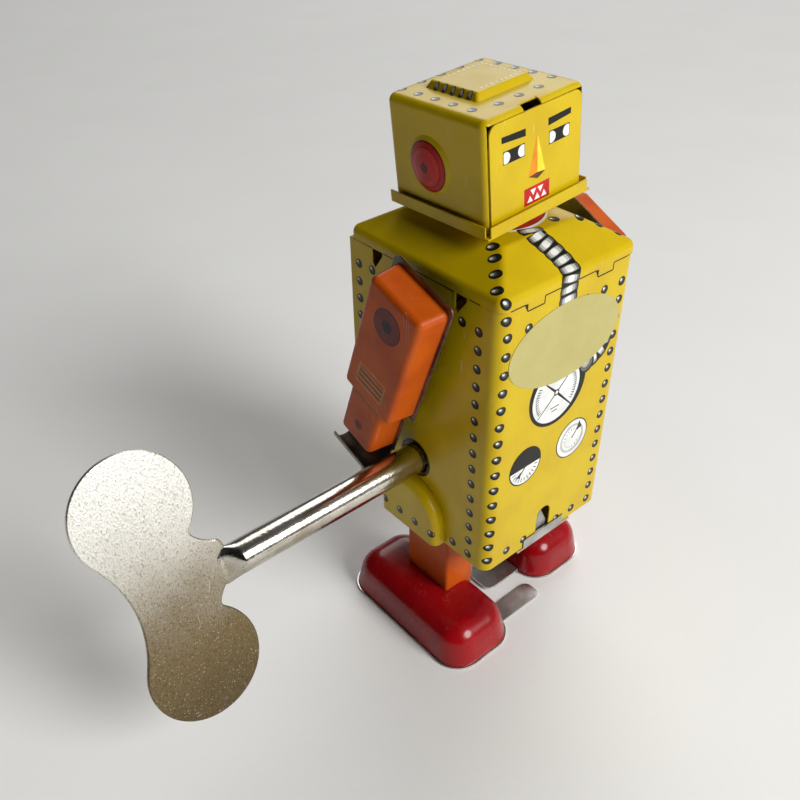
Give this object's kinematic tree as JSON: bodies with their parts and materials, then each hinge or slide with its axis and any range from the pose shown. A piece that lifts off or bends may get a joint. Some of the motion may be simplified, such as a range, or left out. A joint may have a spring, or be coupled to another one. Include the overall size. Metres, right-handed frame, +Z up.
{
  "type": "wind up tin toy",
  "caption": "Clockwork walking tin robot with a boxy body, a square head, swinging arms, sliding legs with large shoes and a pull-off butterfly key.",
  "frame": {"origin": "on the ground, under the middle of the body", "axes": "+Z up, the robot faces -Y, its right side and the winding key are towards -X"},
  "size_m": [0.1547, 0.0604, 0.1569],
  "materials": {
    "yellow_tin": "glossy printed tinplate, mustard yellow",
    "orange_tin": "glossy printed tinplate, orange",
    "red_tin": "glossy lacquered tinplate, deep red",
    "bare_tin": "bare tinplate, slightly dulled",
    "frame_steel": "plain zinc-plated steel",
    "spring_steel": "blued spring steel",
    "gear_brass": "stamped brass, satin",
    "key_nickel": "satin speckled nickel plate"
  },
  "bodies": {
    "case": {"body_shell": "yellow_tin", "back_panel": "yellow_tin", "shoulder_cover": "yellow_tin", "neck_collar": "red_tin", "neck_rivet": "frame_steel", "base_plate": "bare_tin", "motor_plate_right": "frame_steel", "motor_plate_left": "frame_steel", "frame_pillars": "frame_steel", "guide_studs": "frame_steel", "mainspring": "spring_steel", "shoulder_shaft": "frame_steel", "arm_spacers": "frame_steel"},
    "head": {"head_cap": "yellow_tin", "face_plate": "yellow_tin", "head_back": "yellow_tin", "head_tray": "yellow_tin"},
    "right_arm": {"arm_shell_right": "orange_tin", "arm_plate_right": "bare_tin"},
    "left_arm": {"arm_shell_left": "orange_tin", "arm_plate_left": "bare_tin"},
    "right_leg": {"leg_right": "orange_tin", "leg_hanger_right": "bare_tin", "shoe_right": "red_tin", "sole_right": "bare_tin"},
    "left_leg": {"leg_left": "orange_tin", "leg_hanger_left": "bare_tin", "shoe_left": "red_tin", "sole_left": "bare_tin"},
    "great_wheel": {"great_wheel": "gear_brass", "click_leaf": "spring_steel"},
    "arbor": {"winding_arbor": "frame_steel", "ratchet_wheel": "gear_brass"},
    "key": {"winding_key": "key_nickel"},
    "crank": {"crank_shaft": "frame_steel", "crank_disc_right": "frame_steel", "crank_disc_left": "frame_steel", "crank_pinion": "gear_brass", "crank_wheel": "gear_brass"},
    "escape": {"escape_arbor": "frame_steel", "escape_pinion": "gear_brass", "escape_wheel": "gear_brass"},
    "pallet": {"pallet_arbor": "frame_steel", "pallet": "frame_steel"}
  },
  "joints": [
    {"name": "great_wheel_spin", "type": "hinge", "parent": "case", "child": "great_wheel", "pos_m": [0, 0.0014, 0.057], "axis": [1, 0, 0], "continuous": true},
    {"name": "crank_spin", "type": "hinge", "parent": "case", "child": "crank", "pos_m": [0, 0.0014, 0.042], "axis": [1, 0, 0], "continuous": true},
    {"name": "escape_spin", "type": "hinge", "parent": "case", "child": "escape", "pos_m": [0, 0.0119, 0.042], "axis": [1, 0, 0], "continuous": true},
    {"name": "pallet_rock", "type": "hinge", "parent": "case", "child": "pallet", "pos_m": [0, 0.019, 0.0379], "axis": [1, 0, 0], "range_deg": [-4, 4]},
    {"name": "winding_turn", "type": "hinge", "parent": "great_wheel", "child": "arbor", "pos_m": [0, 0.0014, 0.057], "axis": [1, 0, 0], "continuous": true},
    {"name": "key_pull", "type": "slide", "parent": "arbor", "child": "key", "axis": [-1, 0, 0], "range_m": [0, 0.009]},
    {"name": "right_leg_stride", "type": "slide", "parent": "case", "child": "right_leg", "axis": [0, 1, 0], "range_m": [0, 0.009]},
    {"name": "left_leg_stride", "type": "slide", "parent": "case", "child": "left_leg", "axis": [0, 1, 0], "range_m": [-0.009, 0]},
    {"name": "right_arm_swing", "type": "hinge", "parent": "case", "child": "right_arm", "pos_m": [0, -0.0037, 0.1073], "axis": [1, 0, 0], "range_deg": [0, 330]},
    {"name": "left_arm_swing", "type": "hinge", "parent": "case", "child": "left_arm", "pos_m": [0, -0.0037, 0.1073], "axis": [1, 0, 0], "continuous": true},
    {"name": "head_turn", "type": "hinge", "parent": "case", "child": "head", "pos_m": [0.0002, 0.0012, 0.12785], "axis": [-0.0854, 0.0243, 0.996], "range_deg": [-90, 90]}
  ],
  "couplings": [
    {"joint": "crank_spin", "follows": "great_wheel_spin", "ratio": -4},
    {"joint": "escape_spin", "follows": "great_wheel_spin", "ratio": 12.8},
    {"joint": "left_leg_stride", "follows": "right_leg_stride", "ratio": -1}
  ]
}
